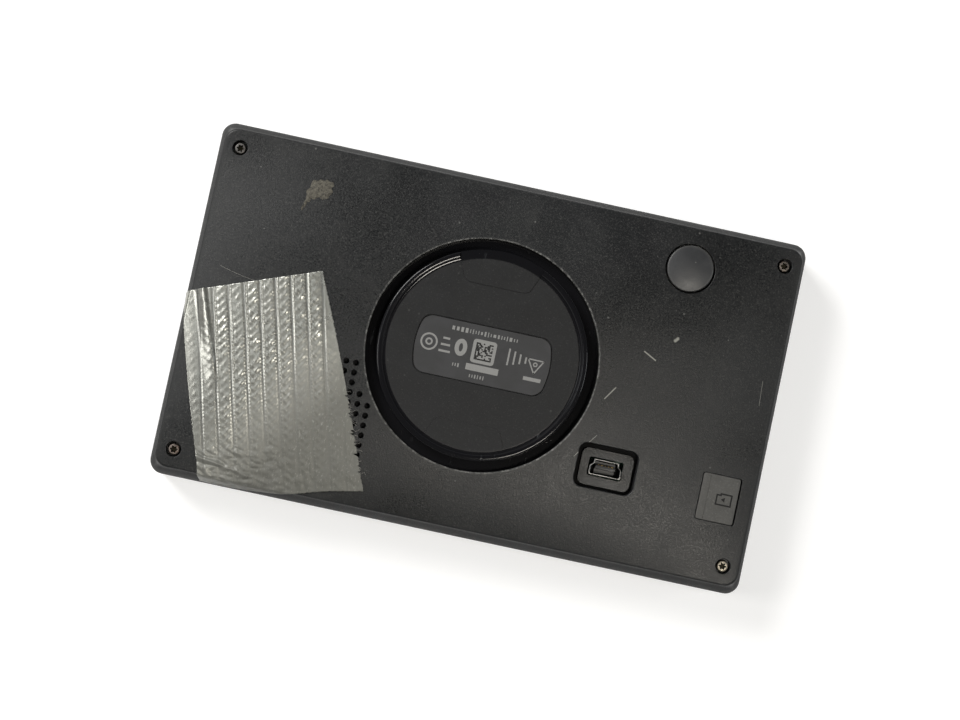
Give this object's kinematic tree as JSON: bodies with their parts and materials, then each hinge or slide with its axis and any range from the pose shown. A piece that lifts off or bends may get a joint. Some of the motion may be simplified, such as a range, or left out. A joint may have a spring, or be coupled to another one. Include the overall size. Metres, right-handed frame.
{
  "type": "portable gps navigator",
  "caption": "Portable GPS navigator: screen in a bezel, domed rear cover with a round mount groove, power button, USB recess, card flap and a tape patch.",
  "frame": {"origin": "under the middle of the case, on the plane that the screen side rests on", "axes": "+Z out of the rear cover, +X to the right and +Y to the top edge when looking at the rear"},
  "size_m": [0.1404, 0.0838, 0.0209],
  "materials": {
    "cover_plastic": "fine spark-eroded grain, worn semi-matte charcoal",
    "bezel_plastic": "smooth black moulding, satin",
    "gloss_plastic": "polished black groove and lip, fine grain on the disc",
    "label_film": "printed dark grey label",
    "flap_rubber": "matte grey soft moulding",
    "dark_steel": "blackened steel screw, worn",
    "nickel": "nickel plate",
    "spring_steel": "tinned sheet steel",
    "white_nylon": "natural nylon",
    "black_nylon": "black moulding compound",
    "screen_glass": "dark screen glass",
    "foam": "black foam and cloth",
    "magnesium": "die-cast frame",
    "circuit_board": "green solder mask",
    "ceramic": "fired ceramic with a silver patch",
    "battery_wrap": "printed shrink film",
    "ribbon_film": "amber polyimide film",
    "red_wire": "red insulation",
    "black_wire": "black insulation",
    "paper": "pressed paper cone",
    "tape": "silver cloth-backed tape, creased",
    "light_guide": "light guide in a thin folded tray"
  },
  "bodies": {
    "case": {"front_bezel": "bezel_plastic", "panel_gasket": "foam", "touch_panel": "screen_glass", "lcd_glass": "screen_glass", "lcd_backlight": "light_guide", "inner_frame": "magnesium", "main_board": "circuit_board", "processor_shield": "spring_steel", "processor_chip": "black_nylon", "memory_chip": "black_nylon", "receiver_shield": "spring_steel", "receiver_chip": "black_nylon", "gps_antenna": "ceramic", "display_connector": "white_nylon", "touch_connector": "white_nylon", "display_tail": "ribbon_film", "touch_tail": "ribbon_film", "battery": "battery_wrap", "battery_socket": "white_nylon", "battery_plug": "white_nylon", "battery_lead_red": "red_wire", "battery_lead_black": "black_wire", "speaker_basket": "black_nylon", "speaker_magnet": "nickel", "speaker_gasket": "foam", "grille_cloth": "foam", "power_switch": "black_nylon", "usb_shell": "nickel", "usb_tongue": "black_nylon", "card_socket": "spring_steel", "rear_cover": "cover_plastic", "mount_plate": "gloss_plastic", "id_label": "label_film", "cover_screw_1": "dark_steel", "cover_screw_2": "dark_steel", "cover_screw_3": "dark_steel", "cover_screw_4": "nickel", "board_screw_1": "spring_steel", "board_screw_2": "spring_steel", "board_screw_3": "spring_steel", "board_screw_4": "spring_steel", "duct_tape": "tape"},
    "button": {"power_button": "cover_plastic"},
    "plunger": {"switch_plunger": "white_nylon"},
    "flap": {"card_flap": "flap_rubber"},
    "card_carriage": {"card_slider": "black_nylon"},
    "cone": {"speaker_cone": "paper"}
  },
  "joints": [
    {"name": "power_press", "type": "slide", "parent": "case", "child": "button", "axis": [0, 0, -1], "range_m": [0, 0.00045], "stiffness_N_per_m": 2500},
    {"name": "plunger_press", "type": "slide", "parent": "case", "child": "plunger", "axis": [0, 0, -1], "range_m": [0, 0.00045]},
    {"name": "flap_hinge", "type": "hinge", "parent": "case", "child": "flap", "pos_m": [0.0648, -0.0206, 0.0171], "axis": [0, 1, 0], "range_deg": [0, 110], "stiffness_Nm_per_rad": 0.002},
    {"name": "card_push", "type": "slide", "parent": "case", "child": "card_carriage", "axis": [-1, 0, 0], "range_m": [0, 0.0013], "stiffness_N_per_m": 800},
    {"name": "cone_travel", "type": "slide", "parent": "case", "child": "cone", "axis": [0, 0, 1], "range_m": [-0.0003, 0.0003], "stiffness_N_per_m": 1500}
  ],
  "couplings": [
    {"joint": "plunger_press", "follows": "power_press", "ratio": 1}
  ]
}
